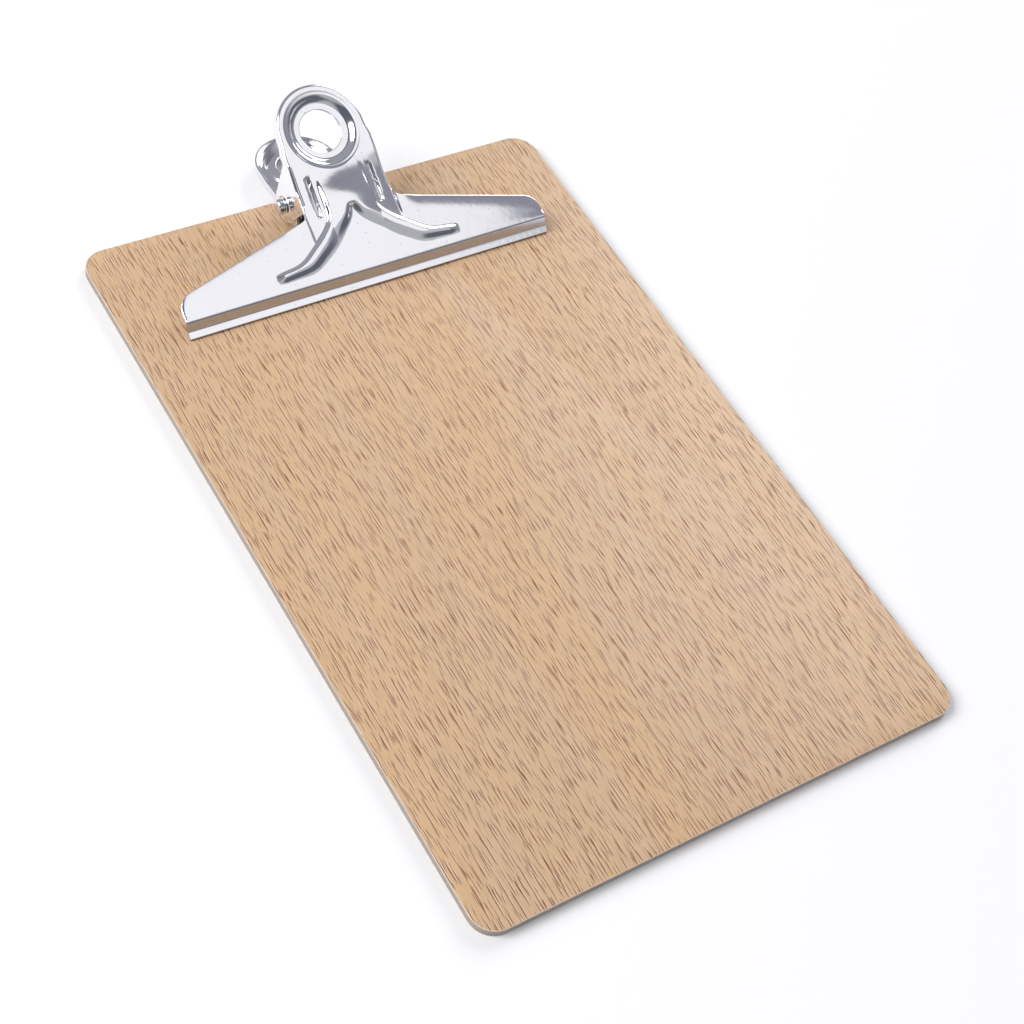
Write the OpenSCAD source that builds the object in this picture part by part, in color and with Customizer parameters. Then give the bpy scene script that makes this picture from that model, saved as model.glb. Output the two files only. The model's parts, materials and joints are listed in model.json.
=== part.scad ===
// Clipboard: a small veneered board with a pressed-steel butterfly clip at its top edge.
// The clip has two ring handles. Squeezing them together lifts the jaw's lip off the board.
//
// Frame: origin at the centre of the board's underside, +X to the right, +Y towards the clip,
// +Z up out of the writing face. All sizes are in millimetres and all angles in degrees.

/* [Board] */
// Length of the board, top edge to bottom edge
board_length = 230; // [220:1:320]
// Width of the board
board_width = 152; // [140:1:230]
// Thickness of the board with both veneers
board_thickness = 3; // [2.6:0.1:5]
// Radius of the board's four corners
corner_radius = 7; // [3:0.5:15]
// Thickness of each veneer
veneer_thickness = 0.3; // [0.2:0.05:0.5]

/* [Jaw] */
// Width of the jaw across its two wings
jaw_width = 120; // [110:1:136]
// Distance from the board's top edge to the front of the lip
lip_setback = 40; // [39:0.5:44]
// Thickness of the pressed steel sheet
sheet = 0.8; // [0.6:0.05:1]
// Slope of the jaw's plate above the board
plate_slope = 28; // [25:0.5:30]
// Radius of the round end of the upper handle
tongue_radius = 13.9; // [12.5:0.1:14.2]
// Radius of the finger hole in the upper handle
finger_hole_radius = 6.55; // [5:0.05:7]
// Depth of the bent rim around the upper handle
rim_depth = 2.9; // [2:0.1:3.5]

/* [Base plate] */
// Width of the base plate's foot, which the two rivets hold
foot_width = 56; // [50:1:70]
// Radius of the round end of the lower handle
lower_radius = 12.9; // [12:0.1:13.2]
// Radius of the hanging hole in the lower handle
hang_hole_radius = 6.5; // [5:0.05:7]
// Height of the bent rim around the lower handle
lower_rim = 2.5; // [1.5:0.1:3]
// Slope of the lower handle below the level of the board
lower_slope = 7; // [3:0.5:7]

/* [Hinge] */
// Distance of the hinge pin from the board's top edge
pin_setback = 7.5; // [7:0.1:9]
// Height of the hinge pin above the board
pin_height = 6.4; // [6.2:0.1:7]
// Radius of the hinge pin
pin_radius = 1.9; // [1.5:0.05:2]
// Radial clearance of the pin in its holes
pin_clearance = 0.05; // [0.03:0.01:0.08]
// Diameter of the spring wire
wire_diameter = 1.3; // [1:0.05:1.4]
// Number of whole turns in each spring, besides the part turn to its legs
spring_turns = 4; // [3:1:4]

/* [Hidden] */
$fn = 64;
eps = 0.01;

// Board
top_z = board_thickness;
edge_y = board_length / 2;

// Hinge
pin_y = edge_y - pin_setback;
pin_z = top_z + pin_height;
// Each wall stands this far inside the edge that it is bent down or up from.
bend_step = 0.1;
neck_half = 14.6;
cheek_out = neck_half - bend_step;
cheek_in = cheek_out - sheet;
ear_out = cheek_in - 0.4;
ear_in = ear_out - sheet;
lower_half = ear_out + bend_step;
pin_head_radius = pin_radius + 0.45;
pin_head_gap = 0.3;
pin_head_length = 2.4;
hole_radius = pin_radius + pin_clearance;
cheek_boss = 5.3;
ear_boss = 4.6;

// Jaw: the lip's profile is a list of [distance behind the lip's front, height above the board].
lip_y = edge_y - lip_setback;
lip_gap = 0.15;
crease = [3.0, 4.6];
lip_outside = [[0, lip_gap], [1.9, 1.8], crease];
lip_inside = [[3.9, 4.0], [2.7, 1.45], [1.1, lip_gap]];
plate_y = lip_y + crease[0];
plate_z = top_z + crease[1];
wing_corner = 5.5;
wing_side = 2.6;
neck_fillet = 2.5;
ring_s = 43;
// Length of a handle's taper, from its straight sides to its round end
taper = 5;
// Direction across the wing's sloping rear edge, and the place where that edge starts
rear_normal = 75.3;
rear_start = [jaw_width / 2 - wing_corner * (1 - cos(rear_normal)), wing_side + wing_corner * sin(rear_normal)];
fillet_x = neck_half + neck_fillet;
fillet_s = rear_start[1]
         + (neck_fillet + (rear_start[0] - fillet_x) * cos(rear_normal)) / sin(rear_normal);
collar_depth = 2.4;

// Base plate
foot_front = edge_y - 28.5;
foot_depth = 11;
foot_corner = 3;
handle_start = edge_y + 0.3;
lower_ring_s = 10.4;
lower_collar = 1.2;

// Rivets
rivet_x = 20;
rivet_y = foot_front + foot_depth / 2;
shank_radius = 2.0;
rivet_hole = shank_radius + 0.1;
rivet_head_radius = 3.6;
rivet_head_height = 1.2;
clinch_radius = 3.2;
clinch_bottom = 0.1;
washer_bottom = 0.7;
washer_top = 1.4;
washer_radius = 5.0;
counterbore_radius = washer_radius + 0.2;

// Springs
coil_radius = pin_height - sheet - 0.2 - wire_diameter / 2;
coil_pitch = wire_diameter + 0.12;
coil_inner_x = 5.4;
leg_slope = 38;
lower_leg = 9;
upper_leg = 17;
wire_sides = 8;
turn_steps = 16;
coil_sweep = 142 - (leg_slope - 38) + 360 * spring_turns;
coil_steps = ceil(coil_sweep / 360 * turn_steps);

// Points on an arc about a centre, from one angle to another.
function arc(centre, r, from, to, steps = 12) =
    [for (i = [0:steps]) let (a = from + (to - from) * i / steps) centre + r * [cos(a), sin(a)]];

// The point where a line from p touches a circle of radius r about the origin.
// side is 1 for the touching point anticlockwise of p's direction and -1 for the other.
function touch(p, r, side) =
    let (a = atan2(p[1], p[0]) + side * acos(r / norm(p))) r * [cos(a), sin(a)];

// A list of points followed by its own mirror image in the vertical axis, in order.
// A point on the axis isn't repeated.
function both_sides(half) =
    concat(half, [for (i = [len(half) - 1:-1:0]) if (half[i][0] > eps) [-half[i][0], half[i][1]]]);

module board_outline() {
    for (sx = [-1, 1], sy = [-1, 1])
        translate([sx * (board_width / 2 - corner_radius), sy * (board_length / 2 - corner_radius)])
            circle(corner_radius);
    square([board_width - 2 * corner_radius, board_length], center = true);
    square([board_width, board_length - 2 * corner_radius], center = true);
}

// Something repeated at the two rivets.
module at_rivets() {
    for (side = [-1, 1]) translate([side * rivet_x, rivet_y, 0]) children();
}

module board_layer(bottom, top) {
    translate([0, 0, bottom]) linear_extrude(top - bottom) board_outline();
}

module board_core() {
    color([0.62, 0.52, 0.43]) difference() {
        board_layer(veneer_thickness, top_z - veneer_thickness);
        at_rivets() cylinder(r = rivet_hole, h = top_z);
        at_rivets() translate([0, 0, -1]) cylinder(r = counterbore_radius, h = 1 + washer_top);
    }
}

module front_veneer() {
    color([0.83, 0.71, 0.56]) difference() {
        board_layer(top_z - veneer_thickness, top_z);
        at_rivets() cylinder(r = rivet_hole, h = top_z + 1);
    }
}

module back_veneer() {
    color([0.80, 0.69, 0.55]) difference() {
        board_layer(0, veneer_thickness);
        at_rivets() translate([0, 0, -1]) cylinder(r = counterbore_radius, h = 2);
    }
}

// A shape drawn in a plane across the hinge pin: 2D x runs along +Y and 2D y along +Z, from the pin.
// It is repeated on both sides of the clip, between two distances from its middle.
module both_walls(inside, outside) {
    for (start = [inside, -outside])
        translate([start, pin_y, pin_z]) rotate([90, 0, 90]) linear_extrude(outside - inside) children();
}

module hinge_bore() {
    translate([0, pin_y, pin_z]) rotate([0, 90, 0]) cylinder(r = hole_radius, h = 4 * cheek_out, center = true);
}

// Half the outline of a handle: a straight side, a slight taper and a quarter of its round end.
// inset moves it inwards.
function half_handle(neck, start, end_s, end_radius, inset = 0) =
    concat([[neck - inset, start], [neck - inset, end_s - taper]],
           arc([0, end_s], end_radius - inset, 0, 90, 16));

module handle_outline(neck, start, end_s, end_radius, inset = 0) {
    polygon(both_sides(half_handle(neck, start, end_s, end_radius, inset)));
}

// Outline of the jaw's plate: the two wings, the neck and the upper handle, in the plate's own plane.
module jaw_outline() {
    wing_end = arc([jaw_width / 2 - wing_corner, wing_side], wing_corner, 0, rear_normal);
    neck = arc([fillet_x, fillet_s], neck_fillet, 180 + rear_normal, 180, 8);
    handle = half_handle(neck_half, fillet_s + 1, ring_s, tongue_radius);
    polygon(both_sides(concat([[jaw_width / 2, 0]], wing_end, neck, handle)));
}

module lip() {
    rotate([90, 0, 90]) linear_extrude(jaw_width, center = true)
        polygon([for (p = concat(lip_outside, lip_inside)) [lip_y + p[0], top_z + p[1]]]);
}

// Height of the plate's top surface above the pin, at a distance along Y from the pin.
function plate_over_pin(y) = plate_z - pin_z + (pin_y + y - plate_y) * tan(plate_slope);

module cheeks() {
    front = [-11.2, plate_over_pin(-11.2) - 1.0];
    rear = [4.1, plate_over_pin(4.1) - 3.3];
    difference() {
        both_walls(cheek_in, cheek_out) {
            circle(cheek_boss);
            polygon([touch(front, cheek_boss, 1), front,
                     [front[0], plate_over_pin(front[0]) - 0.45], [rear[0], plate_over_pin(rear[0]) - 0.45],
                     rear, touch(rear, cheek_boss, -1)]);
        }
        hinge_bore();
    }
}

module upper_jaw() {
    color([0.80, 0.80, 0.83]) union() {
        lip();
        cheeks();
        translate([0, plate_y, plate_z]) rotate([plate_slope, 0, 0]) difference() {
            union() {
                translate([0, 0, -sheet]) linear_extrude(sheet) jaw_outline();
                translate([0, 0, -rim_depth]) linear_extrude(rim_depth - sheet / 2) difference() {
                    handle_outline(neck_half, fillet_s + 1, ring_s, tongue_radius);
                    handle_outline(neck_half, fillet_s, ring_s, tongue_radius, sheet);
                }
                translate([0, ring_s, -collar_depth]) cylinder(r = finger_hole_radius + sheet, h = collar_depth);
            }
            translate([0, ring_s, -5]) cylinder(r = finger_hole_radius, h = 10);
        }
    }
}

module foot_outline() {
    for (sx = [-1, 1], sy = [0, 1])
        translate([sx * (foot_width / 2 - foot_corner),
                   foot_front + foot_corner + sy * (foot_depth - 2 * foot_corner)]) circle(foot_corner);
    translate([-foot_width / 2 + foot_corner, foot_front]) square([foot_width - 2 * foot_corner, foot_depth]);
    translate([-foot_width / 2, foot_front + foot_corner]) square([foot_width, foot_depth - 2 * foot_corner]);
    strip = ear_out + bend_step / 2;
    translate([-strip, foot_front + 1]) square([2 * strip, handle_start - foot_front]);
}

module ears() {
    front = [-8.5, -pin_height + sheet / 2];
    rear = [7.5, -pin_height + sheet / 2];
    rim_end = handle_start - pin_y;
    difference() {
        both_walls(ear_in, ear_out) {
            circle(ear_boss);
            polygon([front, touch(front, ear_boss, -1), touch(rear, ear_boss, 1), rear]);
            translate([1, rear[1]]) square([rim_end - 1, lower_rim + sheet / 2]);
        }
        hinge_bore();
    }
}

module base_plate() {
    color([0.74, 0.74, 0.78]) union() {
        ears();
        difference() {
            translate([0, 0, top_z]) linear_extrude(sheet) foot_outline();
            at_rivets() cylinder(r = rivet_hole, h = 2 * top_z);
        }
        translate([0, handle_start, top_z + sheet]) rotate([-lower_slope, 0, 0]) difference() {
            union() {
                translate([0, 0, -sheet]) linear_extrude(sheet)
                    handle_outline(lower_half, 0, lower_ring_s, lower_radius);
                translate([0, 0, -sheet]) linear_extrude(sheet + lower_rim) difference() {
                    handle_outline(lower_half, 0, lower_ring_s, lower_radius);
                    handle_outline(lower_half, -1, lower_ring_s, lower_radius, sheet);
                }
                translate([0, lower_ring_s, -sheet])
                    cylinder(r = hang_hole_radius + sheet, h = sheet + lower_collar);
            }
            translate([0, lower_ring_s, -5]) cylinder(r = hang_hole_radius, h = 10);
        }
    }
}

// Points along one spring's wire, from the end of its lower leg to the end of its upper leg.
// The lower leg lies on the base plate and the upper leg lies under the upper handle.
function spring_path() = let (
    first = -90,
    centre = [pin_y, pin_z],
    coil = [for (i = [0:coil_steps]) let (a = first - coil_sweep * i / coil_steps)
        [coil_inner_x + coil_pitch * coil_sweep / 360 * i / coil_steps,
         centre[0] + coil_radius * cos(a), centre[1] + coil_radius * sin(a)]],
    last = coil[coil_steps],
    start = [coil[0][0], coil[0][1] + lower_leg, coil[0][2]],
    finish = [last[0], last[1] + upper_leg * cos(leg_slope), last[2] + upper_leg * sin(leg_slope)])
    concat([start], coil, [finish]);

// A closed tube about a path whose direction never comes near the X axis.
module wire(path) {
    count = len(path);
    along = [for (i = [0:count - 1])
        let (d = path[min(i + 1, count - 1)] - path[max(i - 1, 0)]) d / norm(d)];
    points = [for (i = [0:count - 1]) let (
        u = cross(along[i], [1, 0, 0]) / norm(cross(along[i], [1, 0, 0])),
        v = cross(along[i], u))
        for (k = [0:wire_sides - 1]) let (a = 360 * k / wire_sides)
            path[i] + wire_diameter / 2 * (cos(a) * u + sin(a) * v)];
    walls = [for (i = [0:count - 2], k = [0:wire_sides - 1]) let (n = (k + 1) % wire_sides)
        [i * wire_sides + k, i * wire_sides + n, (i + 1) * wire_sides + n, (i + 1) * wire_sides + k]];
    first_end = [for (k = [wire_sides - 1:-1:0]) k];
    last_end = [for (k = [0:wire_sides - 1]) (count - 1) * wire_sides + k];
    polyhedron(points, concat(walls, [first_end, last_end]));
}

module spring() {
    color([0.55, 0.56, 0.60]) wire(spring_path());
}

module spring_right() {
    spring();
}

module spring_left() {
    mirror([1, 0, 0]) spring();
}

module hinge_pin() {
    color([0.70, 0.71, 0.75]) translate([0, pin_y, pin_z]) rotate([0, 90, 0]) union() {
        cylinder(r = pin_radius, h = 2 * (cheek_out + pin_head_gap) + 2 * eps, center = true);
        for (side = [0, 1]) mirror([0, 0, side]) translate([0, 0, cheek_out + pin_head_gap]) {
            cylinder(r = pin_head_radius, h = pin_head_length - 0.4);
            translate([0, 0, pin_head_length - 0.4])
                cylinder(r1 = pin_head_radius, r2 = pin_head_radius - 0.4, h = 0.4);
        }
    }
}

module base_rivets() {
    head_z = top_z + sheet;
    color([0.72, 0.72, 0.75]) at_rivets() rotate_extrude()
        polygon(concat([[0, clinch_bottom], [clinch_radius, clinch_bottom], [clinch_radius, washer_bottom],
                        [shank_radius, washer_bottom], [shank_radius, head_z]],
                       arc([rivet_head_radius - 0.7, head_z + rivet_head_height - 0.7], 0.7, 0, 90, 6),
                       [[0, head_z + rivet_head_height]]));
}

module rivet_washers() {
    color([0.66, 0.66, 0.70]) at_rivets() difference() {
        translate([0, 0, washer_bottom]) cylinder(r = washer_radius, h = washer_top - washer_bottom);
        cylinder(r = rivet_hole, h = top_z);
    }
}

board_core();
front_veneer();
back_veneer();
base_plate();
upper_jaw();
spring_left();
spring_right();
hinge_pin();
base_rivets();
rivet_washers();
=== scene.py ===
"""Looks of the clipboard: pressed nickel-plated clip on a small beech-veneered board.

Every piece is built in the part's own frame, in millimetres, and put into its mesh in metres:
+X to the right across the board, +Y towards the clip, +Z up out of the writing face.
"""

from __future__ import annotations

import functools
import json
import logging
import math
from collections.abc import Callable
from dataclasses import dataclass
from enum import Enum

import bmesh
import bpy
import numpy as np
from mathutils import Matrix, Vector

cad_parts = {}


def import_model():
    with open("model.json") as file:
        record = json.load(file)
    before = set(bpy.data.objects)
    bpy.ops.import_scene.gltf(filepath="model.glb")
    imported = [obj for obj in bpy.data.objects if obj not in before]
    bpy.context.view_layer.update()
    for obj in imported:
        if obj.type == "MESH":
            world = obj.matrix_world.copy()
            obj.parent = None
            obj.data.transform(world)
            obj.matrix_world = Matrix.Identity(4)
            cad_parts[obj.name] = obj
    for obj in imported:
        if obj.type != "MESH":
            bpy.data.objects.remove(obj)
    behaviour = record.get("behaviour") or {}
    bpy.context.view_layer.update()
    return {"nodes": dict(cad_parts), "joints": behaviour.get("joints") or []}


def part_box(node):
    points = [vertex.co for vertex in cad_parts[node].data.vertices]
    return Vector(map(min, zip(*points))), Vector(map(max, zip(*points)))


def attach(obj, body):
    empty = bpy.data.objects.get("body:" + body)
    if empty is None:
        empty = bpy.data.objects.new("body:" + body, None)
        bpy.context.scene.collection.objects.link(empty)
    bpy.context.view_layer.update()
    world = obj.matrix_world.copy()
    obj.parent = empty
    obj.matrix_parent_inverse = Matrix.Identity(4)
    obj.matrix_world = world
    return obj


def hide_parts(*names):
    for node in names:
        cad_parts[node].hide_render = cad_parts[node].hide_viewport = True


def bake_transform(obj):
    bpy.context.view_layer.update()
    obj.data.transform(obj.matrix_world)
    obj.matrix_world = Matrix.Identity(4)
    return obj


LOG = logging.getLogger("clipboard")
MM = 0.001
Array = np.ndarray
Colour = tuple[float, float, float]


class Body(Enum):
    """The two bodies that the hinge joins."""

    BOARD = "board_and_base"
    JAW = "jaw"


class Side(Enum):
    """The two sides of the clip, as the sign of X."""

    LEFT = -1
    RIGHT = 1


@dataclass(frozen=True)
class Places:
    """Places that the pieces share, in millimetres.

    Attributes:
        pivot: (y, z) of the hinge pin.
        rivets: (x, y) of the right rivet.
        top: height of the writing face.
        edge: y of the board's top edge.
        lip: y of the lip's front.
        jaw_half: half the width across the jaw's wings.
        foot_half: half the width of the base plate's foot.
        foot_front: y of the foot's front edge.
    """

    pivot: tuple[float, float]
    rivets: tuple[float, float]
    top: float
    edge: float
    lip: float
    jaw_half: float
    foot_half: float
    foot_front: float

    @classmethod
    def read(cls, joint: dict[str, object]) -> Places:
        """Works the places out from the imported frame, to a thousandth of a millimetre.

        Args:
            joint: the record's hinge.

        Returns:
            The places.
        """
        def corners(node: str) -> Array:
            """A CAD node's lowest and highest corner."""
            return np.round(np.array([list(corner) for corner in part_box(node)]) / MM, 3)

        board, jaw, base, rivets = map(corners, ("front_veneer", "upper_jaw", "base_plate", "base_rivets"))
        head = (rivets[1, 1] - rivets[0, 1]) / 2
        pivot = np.round(np.array(joint["pos_m"]) / MM, 3)
        right = np.round((rivets[1, 0] - head, rivets[:, 1].mean()), 3)
        return cls(pivot=(pivot[1], pivot[2]), rivets=(right[0], right[1]), top=board[1, 2],
                   edge=board[1, 1], lip=jaw[0, 1], jaw_half=jaw[1, 0], foot_half=base[1, 0],
                   foot_front=base[0, 1])


# ---------------------------------------------------------------------------
# Curves and meshes
# ---------------------------------------------------------------------------


def smooth(t: Array) -> Array:
    """An S-shaped step from 0 to 1: 3t^2 - 2t^3 with t held between 0 and 1.

    Args:
        t: how far along the step each point is.

    Returns:
        The height of the step there.
    """
    t = np.clip(t, 0.0, 1.0)
    return t * t * (3.0 - 2.0 * t)


def runs(*parts: tuple[float, float, int]) -> Array:
    """Joins evenly spaced runs of numbers, leaving out the number that two runs share.

    Args:
        parts: the first number, the last number and the count of steps of each run.

    Returns:
        One array of all the numbers in order.
    """
    pieces = [np.linspace(first, last, steps + 1) for first, last, steps in parts]
    return np.concatenate([pieces[0]] + [piece[1:] for piece in pieces[1:]])


def circle(centre: Array, radius: float, angles: Array) -> Array:
    """Points centre + radius (cos a, sin a).

    Args:
        centre: the circle's middle, as two numbers.
        radius: its radius.
        angles: the angles in radians.

    Returns:
        An array with a row of two numbers for each angle.
    """
    return np.asarray(centre) + radius * np.stack([np.cos(angles), np.sin(angles)], -1)


def touch(point: Array, radius: float, side: int) -> Array:
    """Where a line from a point touches a circle about the origin.

    The touching radius stands acos(radius / distance) away from the point's own direction.

    Args:
        point: where the line starts.
        radius: the circle's radius.
        side: 1 for the touching point anticlockwise of the point's direction, -1 for the other.

    Returns:
        The touching point.
    """
    angle = math.atan2(point[1], point[0]) + side * math.acos(radius / float(np.hypot(*point)))
    return radius * np.array([math.cos(angle), math.sin(angle)])


def distance_to(points: Array, line: Array) -> Array:
    """Distance from each point to a line of straight segments.

    Each point is dropped on every segment, the foot is held between the segment's ends, and
    the shortest of the distances counts.

    Args:
        points: an array whose last axis is two numbers.
        line: the segments' end points, one row each.

    Returns:
        An array of distances without that last axis.
    """
    start, along = line[:-1], np.diff(line, axis=0)
    offset = points[..., None, :] - start
    share = np.clip((offset * along).sum(-1) / (along * along).sum(-1), 0.0, 1.0)
    return np.linalg.norm(offset - share[..., None] * along, axis=-1).min(-1)


def new_object(name: str, points: Array, faces: Array) -> bpy.types.Object:
    """Makes an object from points in millimetres and four-cornered faces.

    A face whose corners are partly the same point becomes a triangle, or nothing.

    Args:
        name: the object's name.
        points: one row of three numbers for each point.
        faces: one row of four point numbers for each face.

    Returns:
        The new object, at the origin, with smooth shading.
    """
    same = faces == np.roll(faces, -1, axis=1)
    whole = faces[~same.any(1)]
    once = same.sum(1) == 1
    corners = faces[once][~same[once]].reshape(-1, 3)
    mesh = bpy.data.meshes.new(name)
    mesh.from_pydata((points * MM).tolist(), [], whole.tolist() + corners.tolist())
    mesh.validate()
    mesh.shade_smooth()
    obj = bpy.data.objects.new(name, mesh)
    bpy.context.scene.collection.objects.link(obj)
    return obj


def grid_faces(rows: int, columns: int, closed: bool, first: int = 0) -> Array:
    """Faces of a grid whose points are numbered row by row.

    Args:
        rows: count of rows.
        columns: count of points in a row.
        closed: True if each row's last point joins its first.
        first: number of the grid's first point.

    Returns:
        An array with the four point numbers of each face.
    """
    row = np.arange(rows - 1)[:, None] * columns
    column = np.arange(columns if closed else columns - 1)[None, :]
    after = (column + 1) % columns
    corners = [row + column, row + after, row + columns + after, row + columns + column]
    return first + np.stack(corners, -1).reshape(-1, 4)


def weld(points: Array, faces: Array) -> tuple[Array, Array]:
    """Joins points that lie in the same place, to a ten-thousandth of a millimetre.

    The small shift keeps points that lie on round numbers from falling to either side.

    Args:
        points: one row for each point.
        faces: point numbers of each face.

    Returns:
        The number of one old point for each new one, and the faces in new numbers.
    """
    fineness, shift = 1e4, 0.1234
    keys = np.round(points * fineness + shift).astype(np.int64)
    _, kept, renumber = np.unique(keys, axis=0, return_index=True, return_inverse=True)
    return kept, renumber.reshape(-1)[faces]


class PressedSheet:
    """A pressed sheet made of grids that share their borders.

    Each grid gives the outer face and, point for point, the inner face behind it. The free
    edges get a rounded strip between the two faces, so the sheet is one closed skin.
    """

    def __init__(self, edge_round: float) -> None:
        """Starts an empty sheet.

        Args:
            edge_round: how far the free edges bulge, in millimetres.
        """
        self.edge_round = edge_round
        self.outer: list[Array] = []
        self.inner: list[Array] = []
        self.faces: list[Array] = []
        self.count = 0

    def add(self, outer: Array, inner: Array, closed: bool = False, gap: Array | None = None) -> None:
        """Adds a grid.

        Args:
            outer: points of the outer face, as rows x columns x 3.
            inner: points of the inner face in the same order.
            closed: True if each row's last point joins its first.
            gap: for each point, True where it lies in a hole. A face with such a corner is left out.
        """
        faces = grid_faces(outer.shape[0], outer.shape[1], closed, self.count)
        if gap is not None:
            faces = faces[~gap.reshape(-1)[faces - self.count].any(1)]
        self.outer.append(outer.reshape(-1, 3))
        self.inner.append(inner.reshape(-1, 3))
        self.faces.append(faces)
        self.count += self.outer[-1].shape[0]

    def build(self, name: str) -> bpy.types.Object:
        """Welds the grids, closes the free edges and makes the object.

        A face is turned so that it looks from the inner face to the outer one. At a free edge
        the strip's points stand edge_round * sqrt(sin(pi f)) outside it, f being the share of
        the sheet's thickness.

        Args:
            name: the object's name.

        Returns:
            The new object.
        """
        outer, inner = np.concatenate(self.outer), np.concatenate(self.inner)
        kept, faces = weld(outer, np.concatenate(self.faces))
        outer, inner = outer[kept], inner[kept]
        centre, behind = outer[faces].mean(1), inner[faces].mean(1)
        corner = outer[faces]
        across = np.cross(corner[:, 2] - corner[:, 0], corner[:, 3] - corner[:, 1])
        wrong = (across * (centre - behind)).sum(1) < 0
        faces[wrong] = faces[wrong, ::-1]

        edges = np.stack([faces, np.roll(faces, -1, axis=1)], -1).reshape(-1, 2)
        edges = edges[edges[:, 0] != edges[:, 1]]
        size = outer.shape[0]
        key = edges.min(1) * size + edges.max(1)
        _, where, counts = np.unique(key, return_inverse=True, return_counts=True)
        free = edges[counts[where.reshape(-1)] == 1]
        away = np.cross(outer[free[:, 1]] - outer[free[:, 0]], outer[free[:, 0]] - inner[free[:, 0]])
        push = np.zeros_like(outer)
        np.add.at(push, free[:, 0], away)
        np.add.at(push, free[:, 1], away)
        rim, column = np.unique(free, return_inverse=True)
        column = column.reshape(-1, 2)
        push = push[rim] / np.maximum(np.linalg.norm(push[rim], axis=1, keepdims=True), 1e-9)

        share = np.array([0.12, 0.3, 0.7, 0.88])[:, None, None]
        strip = outer[rim] * (1 - share) + inner[rim] * share
        strip = strip + self.edge_round * np.sin(math.pi * share) ** 0.5 * push
        numbers = 2 * size + np.arange(share.size * rim.size).reshape(share.size, -1)
        levels = np.concatenate([rim[None], numbers, rim[None] + size])[:, column]
        walls = np.stack([levels[:-1, :, 1], levels[:-1, :, 0], levels[1:, :, 0], levels[1:, :, 1]], -1)
        points = np.concatenate([outer, inner, strip.reshape(-1, 3)])
        skin = np.concatenate([faces, faces[:, ::-1] + size, walls.reshape(-1, 4)])
        return new_object(name, points, skin)


@dataclass(frozen=True)
class Spine:
    """Side view of a sheet's outer face: straight runs joined by round bends.

    Attributes:
        corners: (y, z) where the straight runs would meet, from one end to the other.
        radii: bend radius of the outer face at each inner corner.
        zero: number of the corner from which distance s is counted.
        turn: 1 if the sheet's inside is to the right of the way of travel, -1 if to the left.
        steps: count of steps in each bend.
    """

    corners: tuple[tuple[float, float], ...]
    radii: tuple[float, ...]
    zero: int
    turn: float
    steps: int = 12

    def table(self) -> tuple[Array, Array, Array]:
        """Works out points along the spine.

        A bend of radius r that turns by angle d starts r tan(d / 2) before its corner and ends
        as far after it. Between, the direction turns evenly.

        Returns:
            Distance s, the point and the direction inwards for each of them.
        """
        corner = np.array(self.corners)
        way = np.diff(corner, axis=0)
        length = np.linalg.norm(way, axis=1)
        angle = np.arctan2(way[:, 1], way[:, 0])
        reach = np.concatenate([[0.0], np.cumsum(length)])
        distance, place, heading = [reach[:1]], [corner[:1]], [angle[:1]]
        for i, radius in enumerate(self.radii, start=1):
            turn = angle[i] - angle[i - 1]
            before = radius * math.tan(abs(turn) / 2)
            share = np.linspace(0.0, 1.0, self.steps + 1)
            theta = angle[i - 1] + turn * share
            sign = math.copysign(1.0, turn)
            start = corner[i] - before * way[i - 1] / length[i - 1]
            centre = start + sign * radius * np.array([-math.sin(angle[i - 1]), math.cos(angle[i - 1])])
            distance.append(reach[i] + before * (2 * share - 1))
            place.append(centre + sign * radius * np.stack([np.sin(theta), -np.cos(theta)], -1))
            heading.append(theta)
        distance.append(reach[-1:])
        place.append(corner[-1:])
        heading.append(angle[-1:])
        theta = np.concatenate(heading)
        inward = self.turn * np.stack([np.sin(theta), -np.cos(theta)], -1)
        return np.concatenate(distance) - reach[self.zero], np.concatenate(place), inward

    def place(self, x: Array, s: Array, depth: Array) -> Array:
        """Puts points of the sheet in the row frame.

        Args:
            x: distance to the right of the middle.
            s: distance along the spine.
            depth: distance inwards from the outer face.

        Returns:
            The points, with three numbers on the last axis.
        """
        x, s, depth = np.broadcast_arrays(x, s, depth)
        distance, place, inward = self.table()
        across = [np.interp(s, distance, inward[:, k]) for k in (0, 1)]
        size = np.hypot(*across)
        yz = [np.interp(s, distance, place[:, k]) + depth * across[k] / size for k in (0, 1)]
        return np.stack([x, *yz], -1)


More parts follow.
